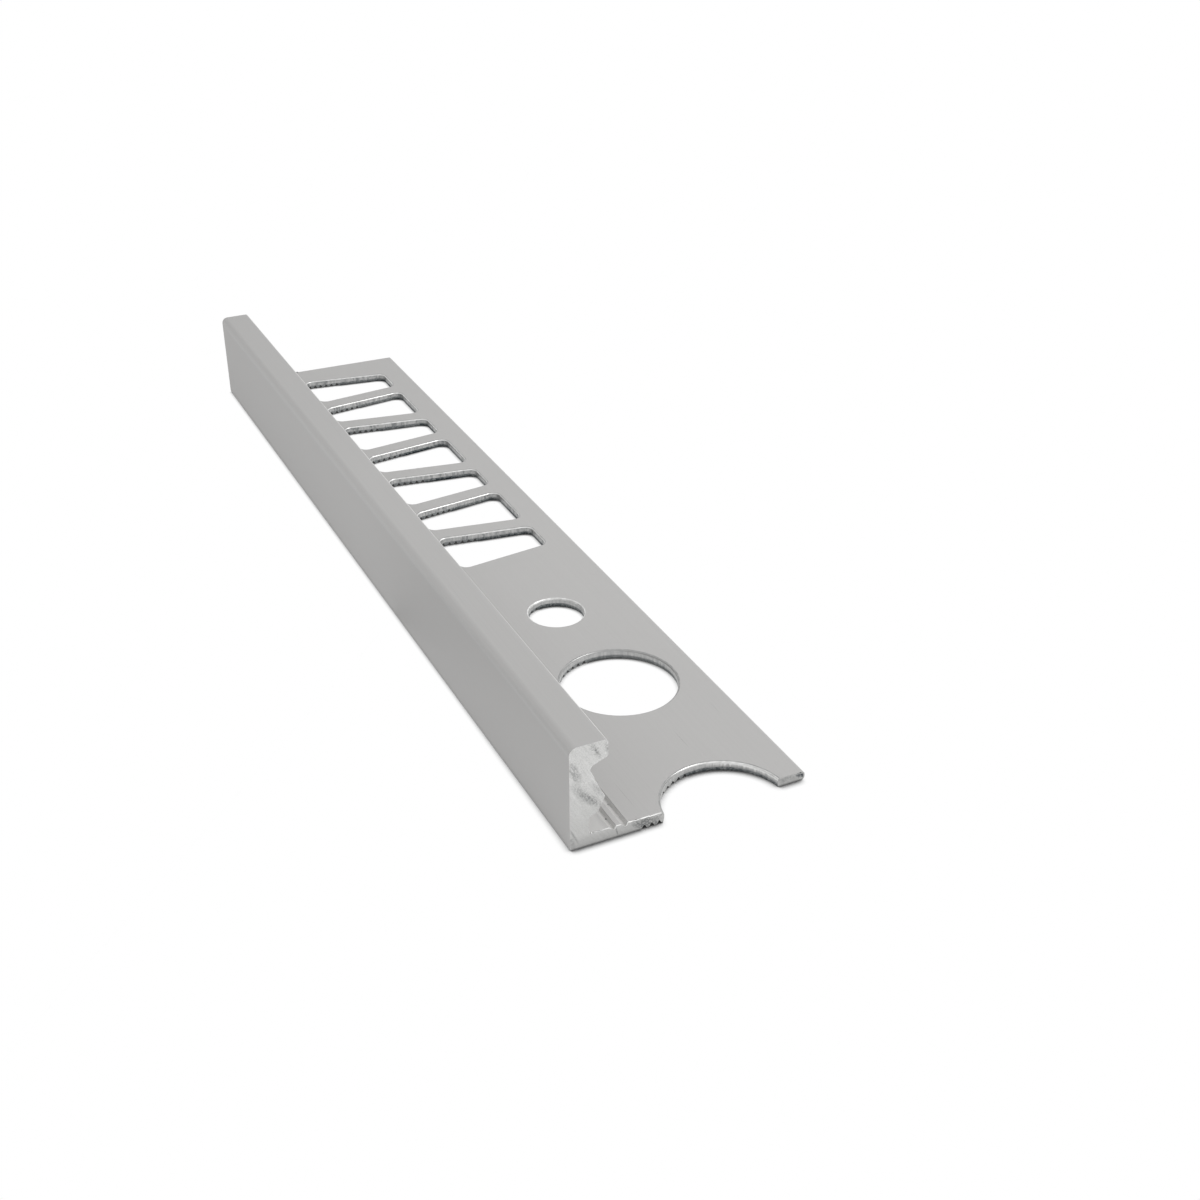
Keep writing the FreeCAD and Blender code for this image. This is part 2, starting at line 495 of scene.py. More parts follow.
def sawnAluminium(values):
    # a clean cut with the blade's marks, smudged and dragged darker in places, with painted shade along its
    # bottom edge and at its darkest places
    metal, tree, surface, place = newMetal("sawnAluminium", values)
    turn = (0, radians(values["bladeTurn"]), 0)
    marks = noise(tree, place, values["marks"], turn)
    grain = noise(tree, place, values["grain"], rough=0.8)
    tone = weighted(tree, (marks, grain), values["toneShares"])
    colour = blended(tree, ranged(tree, tone, *values["toneSpan"]), values["mid"], values["light"])
    alongY, height = distances(tree, place)[1:]
    # darker towards the heel and on the leg's end, and painted shade along the bottom edge
    for shade in ("low", "lowest", "dark"):
        colour = blended(tree, ranged(tree, height, *values[shade + "Fades"]), colour, values[shade])
    nearEnd = maths(tree, "LESS_THAN", alongY, -low.y / mm)
    ragged = wandering(tree, place, values["wanderSize"], values["wander"])
    broken = noise(tree, place, values["breaks"], turn, detail=5.0, rough=0.8)
    # smudges, and painted shade at the darkest places
    for kind, shade in (("smudges", "dark"), ("deepShades", "deep")):
        for start, end, width, strength in values[kind]:
            share = times(tree, oval(tree, ragged, start, end, width, "section"), nearEnd)
            most = strength * values["smudgeShares"][1]
            breaks = ranged(tree, broken, *values["smudgeBreaks"], values["smudgeShares"][0], most)
            colour = blended(tree, times(tree, share, breaks), colour, values[shade])
    for start, end, width, strength in values["lines"]:
        share = times(tree, oval(tree, place, start, end, width, "section"), nearEnd)
        shares = [strength * part for part in values["lineShares"]]
        breaks = ranged(tree, broken, *values["lineBreaks"], *shares)
        colour = blended(tree, times(tree, share, breaks), colour, values["dark"])
    smear = noise(tree, place, values["smear"], turn, detail=4.0, rough=0.6)
    smear = ranged(tree, smear, *values["smearFades"])
    smear = times(tree, smear, maths(tree, "SUBTRACT", 1, nearEnd))
    colour = blended(tree, smear, colour, values["dark"])
    roughness = ranged(tree, tone, *values["toneSpan"], *values["roughness"])
    link(tree, roughness, surface.inputs["Roughness"])
    dress(tree, surface, colour, tone, values["relief"])
    return metal


sheared = {
    "light": (0.56, 0.56, 0.55),
    "dark": (0.40, 0.405, 0.405),
    "toneSpan": (0.38, 0.62),
    "low": (0.30, 0.31, 0.315),         # where the shear gives way to the fracture
    "lowFades": (0.45, 0.34, 0, 0.75),
    "glint": (0.85, 0.85, 0.84),        # painted highlight under the halved hole's rim, towards the free edge
    "glintFades": (0.52, 0.66, 0, 0.85),
    "glintAcross": (14.5, 17.5),
    "streak": (0.17, 0.18, 0.185),
    "streaksFrom": (42, 43),            # the tapered openings were punched with a worn tool
    "streakFades": (0.5, 0.62, 0, 0.75),
    "metallic": 0.6,
    "roughness": 0.42,
    "scoring": (0.2, 0.2, 2.2),
    "patches": (0.9, 0.9, 0.3),
    "streaks": (0.34, 0.34, 1.2),
    "toneShares": (0.6, 0.4),           # of scoring and patches
    "waves": 0.5,               # how far the scoring shifts the bands up and down
    "relief": 0.01,
}


def wavyHeight(tree, height, pattern, reach):
    return maths(tree, "ADD", height, times(tree, maths(tree, "SUBTRACT", pattern, 0.5), reach))


def shearedAluminium(values):
    # burnished by the punch, with fine scoring through the thickness, dulling towards the tear, and a painted
    # highlight under the halved hole's rim
    metal, tree, surface, place = newMetal("shearedAluminium", values)
    scoring = noise(tree, place, values["scoring"], rough=0.7)
    patches = noise(tree, place, values["patches"])
    tone = weighted(tree, (scoring, patches), values["toneShares"])
    colour = blended(tree, ranged(tree, tone, *values["toneSpan"]), values["dark"], values["light"])
    alongY, height = distances(tree, place)[1:]
    wavy = wavyHeight(tree, height, scoring, values["waves"])
    colour = blended(tree, ranged(tree, wavy, *values["lowFades"]), colour, values["low"])
    # painted highlight under the halved hole's rim
    beside = besideHalvedHole(tree, place, *values["glintAcross"])
    glint = times(tree, ranged(tree, wavy, *values["glintFades"]), beside)
    colour = blended(tree, glint, colour, values["glint"])
    worn = ranged(tree, alongY, *values["streaksFrom"])
    streaks = noise(tree, place, values["streaks"], detail=4.0, rough=0.7)
    streaks = times(tree, worn, ranged(tree, streaks, *values["streakFades"]))
    colour = blended(tree, streaks, colour, values["streak"])
    dress(tree, surface, colour, scoring, values["relief"])
    return metal


torn = {
    "light": (0.36, 0.37, 0.37),
    # the fracture's own dull colour, darkened and tinted blue as painted shade
    "dark": (0.08, 0.098, 0.108),
    "edge": (0.006, 0.016, 0.022),      # painted shade along the bottom, where the metal broke through and the contact shadow falls
    "edgeFades": (0.2, 0.08),
    "edgeLengths": (0.4, 0.6, 1, 0.3),          # darker along some lengths of it than others
    "edgeAcross": (12.8, 13.8, 0.1, 1),         # hardly there on the wall's side of the row
    "edgeByLargeHole": 0.25,          # and faint in the large round hole
    "paleAcross": (13.8, 12.8, 0, 0.5),
    "paleByLargeHole": 0.5,
    "besideGrooves": (0.50, 0.50, 0.49),        # paler where the key grooves meet the wall
    "groovesAcross": (12.8, 11.8),
    "metallic": 0.55,
    "roughness": 0.6,
    "crumble": (0.2, 0.2, 0.34),
    "crumbleTone": (0.42, 0.64, 0, 0.8),
    "lengths": (6, 6, 6),
    "lengthsTurn": (0.4, 0.9, 0.2),
    "lengthsTone": (0.4, 0.6, -0.15, 0.3),
    "waves": 0.4,
    "relief": 0.03,
}


def tornAluminium(values):
    # fracture band below the shear, darker along some lengths than others, with painted shade along its
    # bottom
    metal, tree, surface, place = newMetal("tornAluminium", values)
    crumble = noise(tree, place, values["crumble"], detail=4.0, rough=0.7)
    lengths = noise(tree, place, values["lengths"], values["lengthsTurn"], detail=1.0)
    slowTone = ranged(tree, lengths, *values["lengthsTone"])
    tone = maths(tree, "ADD", ranged(tree, crumble, *values["crumbleTone"]), slowTone)
    colour = blended(tree, tone, values["dark"], values["light"])
    acrossX, height = distances(tree, place)[::2]
    wavy = wavyHeight(tree, height, crumble, values["waves"])
    # painted shade along the bottom edge
    edge = ranged(tree, wavy, *values["edgeFades"])
    edge = times(tree, edge, ranged(tree, lengths, *values["edgeLengths"]))
    edge = times(tree, edge, ranged(tree, acrossX, *values["edgeAcross"]))
    byLargeHole = besideLargeHole(tree, place)
    edge = times(tree, edge, ranged(tree, byLargeHole, 0, 1, 1, values["edgeByLargeHole"]))
    colour = blended(tree, times(tree, byLargeHole, values["paleByLargeHole"]), colour, values["light"])
    colour = blended(tree, ranged(tree, acrossX, *values["paleAcross"]), colour, values["light"])
    grooved = besideHalvedHole(tree, place, *values["groovesAcross"])
    colour = blended(tree, grooved, colour, values["besideGrooves"])
    colour = blended(tree, edge, colour, values["edge"])
    dress(tree, surface, colour, crumble, values["relief"])
    return metal


# painted shade in the key grooves, over their oxide and dirt
grip = {
    "light": (0.03, 0.045, 0.055),
    "dark": (0.006, 0.016, 0.022),
    "toneSpan": (0.4, 0.7),
    "size": (0.25, 3, 0.25),
    "detail": 4.0,
    "metallic": 0.6,
    "roughness": 0.65,
    "relief": 0.01,
}
# painted highlight on the burrs
bright = {
    "light": (0.95, 0.95, 0.94),
    "dark": (0.76, 0.76, 0.75),
    "toneSpan": (0.38, 0.6),
    "size": (0.55, 0.55, 0.55),
    "detail": 3.0,
    "metallic": 0.7,
    "roughness": 0.3,
    "relief": 0.006,
}
# painted highlight on the rolled rims
rolled = dict(
    bright,
    light=(0.84, 0.84, 0.83),
    dark=(0.64, 0.64, 0.63),
    dull=(0.38, 0.38, 0.375),   # the painted highlight left off on the large round hole's rim and the halved hole's inner side
    dullAcross=(13.5, 11.5),
    size=(0.5, 0.5, 0.3),
    metallic=0.6,
)
# painted shade: a dark line along the top of each punched rim
rimShadeValues = dict(
    bright,
    light=(0.42, 0.42, 0.415),
    dark=(0.30, 0.305, 0.305),
    size=(0.6, 0.6, 0.3),
    metallic=0.6,
)
# painted highlight along the nose's inner rounding, in lighter and duller lengths
rubbedHighlight = dict(
    bright,
    light=(0.78, 0.78, 0.77),
    dark=(0.5, 0.5, 0.49),
    size=(0.5, 30, 0.5),
    metallic=0.6,
)


def plainAluminium(name, values):
    # one pattern from dark to light, for the painted highlights on burrs, rims and the nose's inner rounding,
    # the painted shade along the rims' tops, and the painted shade over oxide and dirt in the key grooves
    metal, tree, surface, place = newMetal(name, values)
    pattern = noise(tree, place, values["size"], detail=values["detail"])
    colour = blended(tree, ranged(tree, pattern, *values["toneSpan"]), values["dark"], values["light"])
    # the painted highlight left off beside the large round hole and on the halved hole's inner side
    if "dull" in values:
        colour = blended(tree, besideLargeHole(tree, place), colour, values["dull"])
        beside = besideHalvedHole(tree, place, *values["dullAcross"])
        colour = blended(tree, beside, colour, values["dull"])
    dress(tree, surface, colour, pattern, values["relief"])
    return metal


skin = satinAluminium(satin)
sawFace = sawnAluminium(sawn)
shearFace = shearedAluminium(sheared)
tornFace = tornAluminium(torn)
shadedGrip = plainAluminium("shadedGripAluminium", grip)        # painted shade in the key grooves, over their oxide and rolling dirt
burrHighlight = plainAluminium("burrHighlight", bright)
rolledRimHighlight = plainAluminium("rolledRimHighlight", rolled)
rimShade = plainAluminium("rimShade", rimShadeValues)
rubbedArrisHighlight = plainAluminium("rubbedArrisHighlight", rubbedHighlight)
print("materials ready")


# helpers for working as by hand

def takeUp(piece):
    # makes one piece the only selected and the active one, in object mode
    if bpy.context.object and bpy.context.object.mode != "OBJECT":
        bpy.ops.object.mode_set(mode="OBJECT")
    bpy.ops.object.select_all(action="DESELECT")
    piece.select_set(True)
    bpy.context.view_layer.objects.active = piece


def edit(piece):
    takeUp(piece)
    bpy.ops.object.mode_set(mode="EDIT")


def endEdit():
    bpy.ops.object.mode_set(mode="OBJECT")


def pick(kind, test):
    # in edit mode, selects the vertices, edges or faces that pass the test
    bpy.ops.mesh.select_mode(type=kind)
    bpy.ops.mesh.select_all(action="DESELECT")
    mesh = bmesh.from_edit_mesh(bpy.context.object.data)
    parts = {"VERT": mesh.verts, "EDGE": mesh.edges, "FACE": mesh.faces}[kind]
    for part in parts:
        if test(part):
            part.select_set(True)
    mesh.select_flush_mode()
    bmesh.update_edit_mesh(bpy.context.object.data)


def pickAll():
    bpy.ops.mesh.select_all(action="SELECT")


def pickLowestFace():
    mesh = bmesh.from_edit_mesh(bpy.context.object.data)
    lowest = min(face.calc_center_median().z for face in mesh.faces)
    pick("FACE", lambda face: face.calc_center_median().z < lowest + hair)


def pull(x, y, z):
    # extrudes what is picked by so many metres
    bpy.ops.mesh.extrude_region_move(TRANSFORM_OT_translate={"value": (x, y, z)})


def faceOutwards():
    pickAll()
    bpy.ops.mesh.normals_make_consistent(inside=False)


def roundPicked(radius, angle, segments):
    # rounds the picked corners of an outline, each of the given angle, to a radius in mm
    bpy.ops.mesh.bevel(affect="VERTICES", offset_type="OFFSET", offset=radius * mm / tan(angle / 2),
                       segments=segments, profile=0.5, clamp_overlap=False)


def giveMaterials(piece, *materials):
    for material in materials:
        piece.data.materials.append(material)


def paintPicked(material):
    piece = bpy.context.object
    piece.active_material_index = piece.data.materials.find(material.name)
    bpy.ops.object.material_slot_assign()


def groupPicked(name):
    bpy.ops.object.vertex_group_assign_new()
    bpy.context.object.vertex_groups[-1].name = name


def roughen(piece, name, group, depth, size, turn=(0, 0, 0), direction="NORMAL", middle=0.5, detail=2):
    # moves the group's vertices by a cloud pattern, up to depth mm, and applies it
    grain = bpy.data.textures.new(name, "CLOUDS")
    grain.noise_scale = 1.0
    grain.noise_depth = detail
    # an empty, whose scale in mm sets how long the grain is each way
    guide = bpy.data.objects.new(name + "Guide", None)
    bpy.context.scene.collection.objects.link(guide)
    guide.scale = [part * mm for part in size]
    guide.rotation_euler = turn
    bpy.context.view_layer.update()
    takeUp(piece)
    move = piece.modifiers.new(name, "DISPLACE")
    move.texture = grain
    move.texture_coords = "OBJECT"
    move.texture_coords_object = guide
    move.vertex_group = group
    move.direction = direction
    move.strength = depth * mm
    move.mid_level = middle
    bpy.ops.object.modifier_apply(modifier=name)
    bpy.data.objects.remove(guide)
    bpy.data.textures.remove(grain)


def cutAway(piece, tool):
    takeUp(piece)
    cut = piece.modifiers.new(tool.name, "BOOLEAN")
    cut.operation = "DIFFERENCE"
    cut.solver = "MANIFOLD"
    cut.material_mode = "TRANSFER"
    cut.object = tool
    bpy.ops.object.modifier_apply(modifier=cut.name)
    bpy.data.objects.remove(tool)


profile = {
    # corners in mm from the wall's outer face and the underside, each with its rounding
    "heel": (0, 0, 0.12),
    "noseOuter": (0, 10.0, 0.7),
    "noseInner": (3.42, 10.0, 0.4),
    "noseLip": (3.42, 8.35, 0.35),
    "neck": (1.60, 7.65, 0.6),
    "barbTip": (3.10, 4.4, 0.3),
    "barbHeel": (2.52, 3.2, 0.25),
    "barbRoot": (1.72, 2.75, 0.2),
    "foot": (1.72, 1.1, 0.25),
    "ratchetStarts": (3.5, 4.58),
    "ratchetGentle": 0.48,
    "ratchetSteep": 0.21,
    "ratchetDepth": 0.3,
    "edgeTop": (22.1, 0.85, 0.35),
    "edgeBottom": (22.1, 0, 0.3),
    "gripStart": 6.7,
    "gripPitch": 0.7,
    "gripCount": 10,
    "gripWidth": 0.54,
    "gripDepth": 0.41,
    "grooveRounding": 0.035,
    "segments": 4,              # in every rounding
    "moreSegments": 9,          # for each mm of its radius
    "rubbedHighlightAbove": 9.5,         # the nose's inner rounding takes its painted highlight above this height
    "spare": 2.0,               # mm of bar past each saw cut
}

burr = {
    # what the saw pushed up along the near and far ends
    "lip": -0.03,               # mm from the cut to where the burr starts to rise
    "crest": 0.07,
    "ramp": 0.17,
    "legBurr": 0.2,             # height in mm, before the pattern thins it
    "legAcross": (1.9, 9.15),   # mm from the wall's outer face
    "legUp": (0.8, 1.15),       # mm from the underside
    "barbBurr": 0.27,
    "barbAcross": (1.66, 3.2),
    "barbUp": (4.45, 7.4),
    "cuts": ((3.0, 36), (0.5, 16)),         # edges longer than so many mm are cut so many times
    "grain": (0.5, 0.5, 0.5),
    "middle": 0.15,             # where the pattern is this low, the burr stays down
}


def legTop(shape, x):
    # height of the leg's top, which falls from its foot to the free edge
    footX, footZ = shape["foot"][:2]
    edgeX, edgeZ = shape["edgeTop"][:2]
    return footZ + (edgeZ - footZ) * (x - footX) / (edgeX - footX)


def sectionCorners(shape, burrReach):
    # up the wall, down its inner side, out along the leg's top and back underneath
    small = shape["grooveRounding"]
    corners = [shape[name] for name in ("heel", "noseOuter", "noseInner", "noseLip", "neck",
                                        "barbTip", "barbHeel", "barbRoot", "foot")]
    for start in shape["ratchetStarts"]:
        apex = start + shape["ratchetGentle"]
        end = apex + shape["ratchetSteep"]
        corners += [(start, legTop(shape, start), small),
                    (apex, legTop(shape, apex) - shape["ratchetDepth"], small),
                    (end, legTop(shape, end), small)]
    corners += [(burrReach, legTop(shape, burrReach), 0), shape["edgeTop"], shape["edgeBottom"]]
    for number in reversed(range(shape["gripCount"])):
        centre = shape["gripStart"] + number * shape["gripPitch"]
        half = shape["gripWidth"] / 2
        corners += [(centre + half, 0, small), (centre, shape["gripDepth"], small), (centre - half, 0, small)]
    return corners


def near(point, x, z):
    return hypot(point.co.x - x, point.co.z - z) < hair


def drawOutline(shape, corners, startY):
    # the section as a face, drawn corner by corner and then rounded
    places = [(low.x + x * mm, z * mm) for x, z, rounding in corners]
    bpy.ops.mesh.merge(type="CENTER")       # one vertex, the pencil point
    bpy.ops.transform.translate(value=(places[0][0], startY, places[0][1]))
    for (fromX, fromZ), (toX, toZ) in zip(places, places[1:]):
        bpy.ops.mesh.extrude_vertices_move(TRANSFORM_OT_translate={"value": (toX - fromX, 0, toZ - fromZ)})
    pick("VERT", lambda point: near(point, *places[0]) or near(point, *places[-1]))
    bpy.ops.mesh.edge_face_add()
    pickAll()
    bpy.ops.mesh.edge_face_add()
    for number, corner in enumerate(corners):
        before, after = corners[number - 1], corners[(number + 1) % len(corners)]
        if corner[2]:
            toBefore = atan2(before[1] - corner[1], before[0] - corner[0])
            toAfter = atan2(after[1] - corner[1], after[0] - corner[0])
            angle = abs((toBefore - toAfter + pi) % (2 * pi) - pi)
            pick("VERT", lambda point: near(point, *places[number]))
            roundPicked(corner[2], angle, round(shape["segments"] + shape["moreSegments"] * corner[2]))


def drawBar(shape, lines):
    bpy.ops.object.select_all(action="DESELECT")
    bpy.ops.mesh.primitive_plane_add(size=mm, location=(0, 0, 0))
    bar = bpy.context.object
    bar.name = "trim_body"
    # the bar is drawn out in steps, which leave the lines along which the burrs will rise
    insets = [-shape["spare"]] + [lines[name] for name in ("lip", "crest", "ramp")]
    stops = [low.y + inset * mm for inset in insets] + [high.y - inset * mm for inset in reversed(insets)]
    edit(bar)
    drawOutline(shape, sectionCorners(shape, lines["legAcross"][1]), stops[0])
    pickAll()
    for here, there in zip(stops, stops[1:]):
        pull(0, there - here, 0)
    faceOutwards()

    def inGrip(face):
        # the slanting walls of the key grooves, not the roundings at the heel and the free edge
        middle, normal = face.calc_center_median(), face.normal
        slanting = 0.02 < abs(normal.x) < 0.99 and normal.z < -0.02
        inside = 1 * mm < middle.x - low.x < (shape["edgeTop"][0] - 1) * mm
        return slanting and inside and middle.z < (shape["gripDepth"] + 0.01) * mm

    def onNoseRounding(face):
        middle, normal = face.calc_center_median(), face.normal
        edgeX, radius = low.x + shape["noseInner"][0] * mm, shape["noseInner"][2] * mm
        beside = abs(middle.x - edgeX) < radius and middle.z > shape["rubbedHighlightAbove"] * mm
        return beside and normal.x > 0.6 and normal.z > 0.3

    giveMaterials(bar, skin, shadedGrip, rubbedArrisHighlight, burrHighlight)
    # painted shade in the key grooves
    pick("FACE", inGrip)
    paintPicked(shadedGrip)
    # painted highlight along the nose's inner rounding
    pick("FACE", onNoseRounding)
    paintPicked(rubbedArrisHighlight)
    endEdit()
    return bar


def raiseBurrs(bar, values):
    crests = (low.y + values["crest"] * mm, high.y - values["crest"] * mm)

    def inside(number, span, slack=0.0):
        return span[0] * mm < number < (span[1] + slack) * mm

    def burred(place, slack):
        x, z = place.x - low.x, place.z
        onLeg = inside(x, values["legAcross"], slack) and inside(z, values["legUp"])
        onBarb = inside(x, values["barbAcross"]) and inside(z, values["barbUp"])
        return onLeg or onBarb

    def onCrest(vertex, slack=0.001):
        return min(abs(vertex.co.y - crest) for crest in crests) < hair and burred(vertex.co, slack)

    def onRamp(face):
        nearDepth = max(vertex.co.y - low.y for vertex in face.verts)
        farDepth = max(high.y - vertex.co.y for vertex in face.verts)
        shallow = min(nearDepth, farDepth) < values["ramp"] * mm + hair
        return shallow and burred(face.calc_center_median(), 0.001)

    edit(bar)
    for longest, cuts in values["cuts"]:
        pick("EDGE", lambda edge: all(map(onCrest, edge.verts)) and edge.calc_length() > longest * mm)
        bpy.ops.mesh.subdivide(number_cuts=cuts)
    # the leg's burr stops just short of its last point, which stays down
    pick("VERT", lambda vertex: onCrest(vertex, -0.009) and vertex.co.z < values["barbUp"][0] * mm)
    groupPicked("legBurr")
    pick("VERT", lambda vertex: onCrest(vertex) and vertex.co.z > values["legUp"][1] * mm)
    groupPicked("barbBurr")
    # painted highlight on the burrs' ramps
    pick("FACE", onRamp)
    paintPicked(burrHighlight)
    endEdit()
    for group in ("legBurr", "barbBurr"):
        roughen(bar, group, group, values[group], values["grain"], middle=values["middle"])


punching = {
    "rowX": 14.0,               # mm from the wall's outer face
    "roll": 0.2,                # radius that the punch drags over the top edge
    "lead": 0.1,                # mm of plain slope above the roll
    "rollAngles": (10, 32, 52, 71, 90),
    "tearStart": 0.38,          # height at which the shear gives way to the fracture
    "tear": ((0.26, 0.025), (0.13, 0.05), (-0.02, 0.075)),      # heights and flares
    "roughEnd": -0.1,           # height down to which the walls are roughened
    "below": 0.8,               # mm that each punch goes on below the leg
    "above": 0.9,               # and starts above it
    "largeRadius": 5.5,
    "largeSides": 240,
    "largeCentres": (-0.75, 19.25),
    "smallRadius": 2.75,
    "smallSides": 128,
    "smallCentre": 33.15,
    "taperSpan": 10.2,
    "taperWide": 7.2,
    "taperNarrow": 4.4,
    "taperCorner": 0.9,
    "cornerSegments": 14,
    "sideCuts": ((6.0, 60), (1.0, 26)),     # edges longer than so many mm are cut so many times
    "taperFirst": 49.0,
    "taperPitch": 8.0,
    "taperCount": 7,
    "scoring": (0.02, (0.16, 0.16, 6)),     # depth and grain of each roughness
    "crumbling": (0.09, (0.14, 0.14, 0.1)),
    "tearEdge": (0.16, (0.3, 0.3, 0.3)),
}


def mouthGrowth(values):
    # mm by which the punch is wider at the top than the hole's wall
    return values["roll"] * (1 - sin(radians(values["rollAngles"][0]))) + values["lead"]


def sinkPunch(values, halfX, halfY, topZ):
    # the outline face stands above the leg; it is drawn down step by step to below it
    roll = values["roll"]
    offsets = [roll * (1 - sin(radians(angle))) for angle in values["rollAngles"]]
    depths = [roll * (1 - cos(radians(angle))) for angle in values["rollAngles"]]
    slope = tan(radians(values["rollAngles"][0]))
    leadHeight = values["lead"] * slope - depths[0]
    pickAll()
    pull(0, 0, (leadHeight - values["above"]) * mm)
    faceOutwards()
    pickLowestFace()
    bpy.ops.mesh.inset(thickness=values["lead"] * mm, depth=(leadHeight + depths[0]) * mm)
    for step in range(1, len(offsets)):
        bpy.ops.mesh.inset(thickness=(offsets[step - 1] - offsets[step]) * mm,
                           depth=(depths[step] - depths[step - 1]) * mm)
    pull(0, 0, (values["tearStart"] - (topZ - roll)) * mm)
    height, flare = values["tearStart"], 0
    faces = bmesh.from_edit_mesh(bpy.context.object.data).faces
    centre = next(face for face in faces if face.select).calc_center_bounds()
    for nextHeight, nextFlare in values["tear"]:
        pull(0, 0, (nextHeight - height) * mm)
        wider = ((halfX + nextFlare) / (halfX + flare), (halfY + nextFlare) / (halfY + flare), 1)
        bpy.ops.transform.resize(value=wider, center_override=centre)
        height, flare = nextHeight, nextFlare
    pull(0, 0, -values["below"] * mm)


def aboveRow(values, centreY, topZ):
    # where the outline of a punch starts, above the leg
    return Vector((low.x + values["rowX"] * mm, low.y + centreY * mm, (topZ + values["above"]) * mm))


def editAdded():
    # takes up the outline just added, with its place in its mesh
    tool = bpy.context.object
    takeUp(tool)
    bpy.ops.object.transform_apply(location=True)
    edit(tool)
    return tool


def roundPunch(values, centreY, radius, sides, topZ):
    place = aboveRow(values, centreY, topZ)
    mouth = (radius + mouthGrowth(values)) * mm
    bpy.ops.object.select_all(action="DESELECT")
    bpy.ops.mesh.primitive_circle_add(vertices=sides, radius=mouth, fill_type="NGON", location=place)
    tool = editAdded()
    sinkPunch(values, radius, radius, topZ)
    endEdit()
    return tool


def taperedPunch(values, centreY, topZ):
    # rounded trapezium, wide end towards the wall
    span, wide, narrow = values["taperSpan"], values["taperWide"], values["taperNarrow"]
    grow = mouthGrowth(values)
    slant = atan((wide - narrow) / 2 / span)
    mouthSpan = span + 2 * grow
    mouthWide = wide + 2 * grow * (1 / cos(slant) + tan(slant))
    mouthNarrow = narrow + 2 * grow * (1 / cos(slant) - tan(slant))
    place = aboveRow(values, centreY, topZ)
    bpy.ops.object.select_all(action="DESELECT")
    bpy.ops.mesh.primitive_plane_add(size=mm, location=place)
    tool = editAdded()
    bpy.ops.transform.resize(value=(mouthSpan, mouthWide, 1), center_override=place)
    pick("VERT", lambda vertex: vertex.co.x > place.x)
    bpy.ops.transform.resize(value=(1, mouthNarrow / mouthWide, 1), center_override=place)
    for side, angle in ((-1, pi / 2 - slant), (1, pi / 2 + slant)):
        pick("VERT", lambda vertex: abs(vertex.co.x - place.x - side * mouthSpan / 2 * mm) < hair)
        roundPicked(values["taperCorner"] + grow, angle, values["cornerSegments"])
    # the sides are divided as bare edges, so that the face keeps one plain outline
    pickAll()
    bpy.ops.mesh.delete(type="ONLY_FACE")
    for longest, cuts in values["sideCuts"]:
        pick("EDGE", lambda edge: edge.calc_length() > longest * mm)
        bpy.ops.mesh.subdivide(number_cuts=cuts)
    pickAll()
    bpy.ops.mesh.edge_face_add()
    sinkPunch(values, span / 2, (wide + narrow) / 4, topZ)
    endEdit()
    return tool


def copyAlong(piece, moveY, turned, rowX):
    # a copy with its own mesh, further along the row and turned end for end if asked
    takeUp(piece)
    bpy.ops.object.duplicate()
    copy = bpy.context.object
    edit(copy)
    pickAll()
    bpy.ops.transform.translate(value=(0, moveY * mm, 0))
    if turned:
        bpy.ops.transform.resize(value=(-1, 1, 1), center_override=(low.x + rowX * mm, 0, 0))
        faceOutwards()
    endEdit()
    return copy


def punchRow(values, topZ):
    # all the punches as one tool
    tools = []
    for centre in values["largeCentres"]:
        tools.append(roundPunch(values, centre, values["largeRadius"], values["largeSides"], topZ))
    tools.append(roundPunch(values, values["smallCentre"], values["smallRadius"], values["smallSides"], topZ))
    first = taperedPunch(values, values["taperFirst"], topZ)
    tools.append(first)
    for number in range(1, values["taperCount"]):
        tools.append(copyAlong(first, number * values["taperPitch"], number % 2 == 1, values["rowX"]))
    bpy.ops.object.select_all(action="DESELECT")
    for tool in tools:
        tool.select_set(True)
    bpy.context.view_layer.objects.active = tools[0]
    bpy.ops.object.join()
    row = bpy.context.object
    row.name = "punches"
    return row


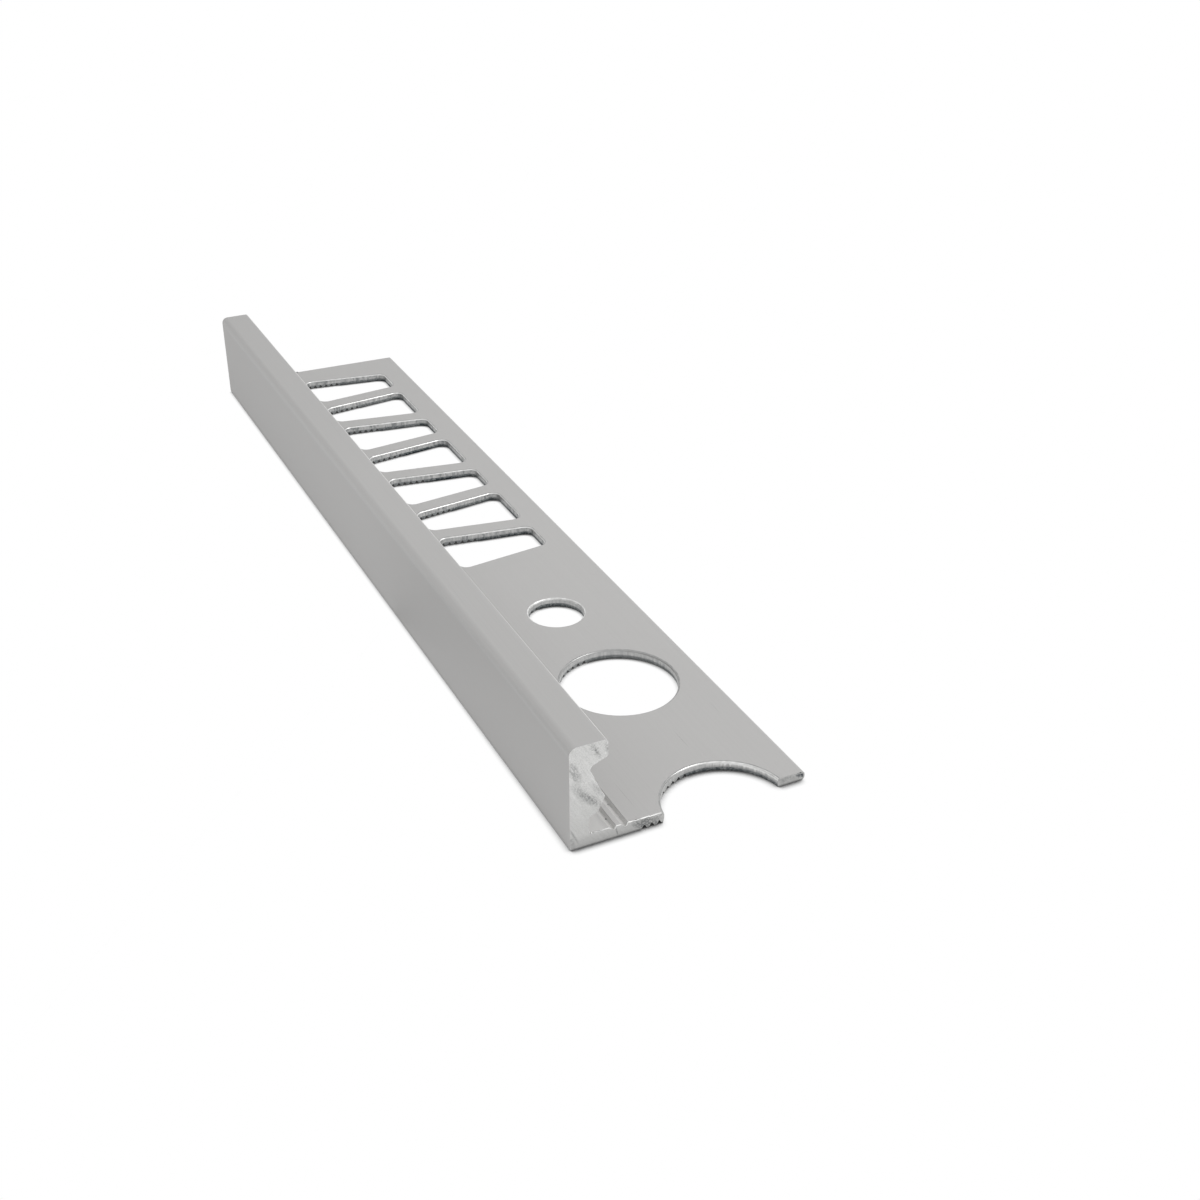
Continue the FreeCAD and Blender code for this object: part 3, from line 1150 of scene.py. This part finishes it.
def makePunches(values, shape):
    # each punch holds the rolled rim, the sheared land and the torn band of its hole
    topZ = legTop(shape, values["rowX"])
    row = punchRow(values, topZ)
    giveMaterials(row, rimShade, rolledRimHighlight, shearFace, tornFace)
    rollEnd = (topZ - values["roll"]) * mm
    rollHeights = [topZ - values["roll"] * (1 - cos(radians(angle))) for angle in values["rollAngles"]]
    edit(row)
    faceOutwards()
    # the lead and the roll's first step keep the painted shade, the roll below takes the painted highlight,
    # then the shear and the fracture
    tops = (rollHeights[1], rollHeights[3], values["tearStart"])
    for paint, top in zip((rolledRimHighlight, shearFace, tornFace), tops):
        pick("FACE", lambda face: face.calc_center_median().z < top * mm - hair)
        paintPicked(paint)
    # the painted highlight goes all the way round the small hole's roll
    smallY = low.y + values["smallCentre"] * mm
    reach = (values["smallRadius"] + mouthGrowth(values)) * mm
    pick("FACE", lambda face: abs(face.calc_center_median().y - smallY) < reach
         and rollEnd < face.calc_center_median().z < rollHeights[0] * mm - hair)
    paintPicked(rolledRimHighlight)
    roughEnd, tearStart = values["roughEnd"] * mm, values["tearStart"] * mm
    for group, bottom, top in (("wall", roughEnd, rollEnd + hair), ("torn", roughEnd, tearStart - hair),
                               ("tearLine", tearStart - hair, tearStart + hair)):
        pick("VERT", lambda vertex: bottom < vertex.co.z < top)
        groupPicked(group)
    # the leg's top slopes towards the free edge, and the punches stand square to it
    pickAll()
    slope = atan(legTop(shape, 0) - legTop(shape, 1))
    hub = (low.x + values["rowX"] * mm, 0, topZ * mm)
    bpy.ops.transform.rotate(value=-slope, orient_axis="Y", center_override=hub)
    endEdit()
    roughen(row, "scoring", "wall", *values["scoring"])
    roughen(row, "crumbling", "torn", *values["crumbling"], detail=3)
    roughen(row, "tearEdge", "tearLine", *values["tearEdge"], direction="Z")
    return row


sawing = {
    "width": 25.0,              # mm of the block that is taken away
    "height": 13.0,
    "depth": 5.0,
    "cell": 0.08,               # mm between the points of its rough face
    "bladeTurn": 59.0,
    "ripple": (0.03, (2.2, 1, 0.3)),        # depth and grain of each roughness
    "grain": (0.014, (0.16, 1, 0.12)),
}


def sawBlock(values, cutY, inward):
    # what the saw takes away beyond one end, with the blade's ripple and grain on the cut
    across = round(values["width"] / values["cell"])
    up = round(values["height"] / values["cell"])
    bpy.ops.object.select_all(action="DESELECT")
    bpy.ops.mesh.primitive_grid_add(x_subdivisions=across, y_subdivisions=up, size=1,
                                    location=(0, cutY, high.z / 2), rotation=(pi / 2, 0, 0))
    block = bpy.context.object
    takeUp(block)
    block.name = "sawCut"
    block.scale = (values["width"] * mm, values["height"] * mm, 1)
    bpy.ops.object.transform_apply(location=True, rotation=True, scale=True)
    edit(block)
    pickAll()
    pull(0, -inward * values["depth"] * mm, 0)
    faceOutwards()
    pick("VERT", lambda vertex: abs(vertex.co.y - cutY) < hair)
    groupPicked("blade")
    endEdit()
    giveMaterials(block, sawFace)
    turn = (0, radians(values["bladeTurn"]), 0)
    for name, detail in (("ripple", 1), ("grain", 2)):
        depth, size = values[name]
        roughen(block, name, "blade", inward * depth, size, turn, direction="Y", middle=0.0, detail=detail)
    return block


shading = {
    "smoothAngle": 28,          # degrees up to which neighbouring faces shade as one
    "normalWeight": 100,
}


def finishTrim(bar, values):
    mesh = bmesh.new()
    mesh.from_mesh(bar.data)
    print("open edges", sum(not edge.is_manifold for edge in mesh.edges), "vertices", len(mesh.verts),
          "volume mm3", round(mesh.calc_volume() / mm ** 3, 1))
    mesh.free()
    takeUp(bar)
    bpy.ops.object.shade_smooth_by_angle(angle=radians(values["smoothAngle"]))
    even = bar.modifiers.new("evenShading", "WEIGHTED_NORMAL")
    even.keep_sharp = True
    even.weight = values["normalWeight"]
    bpy.ops.object.modifier_apply(modifier=even.name)
    bar.vertex_groups.clear()


trim = drawBar(profile, burr)
print("bar drawn,", len(trim.data.polygons), "faces")
raiseBurrs(trim, burr)
print("burrs raised")
cutAway(trim, sawBlock(sawing, low.y, 1))
cutAway(trim, sawBlock(sawing, high.y, -1))
print("ends sawn,", len(trim.data.polygons), "faces")
cutAway(trim, makePunches(punching, profile))
print("holes punched,", len(trim.data.polygons), "faces")
finishTrim(trim, shading)
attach(trim, "root")
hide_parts("trim_profile")
print("materials on the trim:", [slot.name for slot in trim.data.materials])
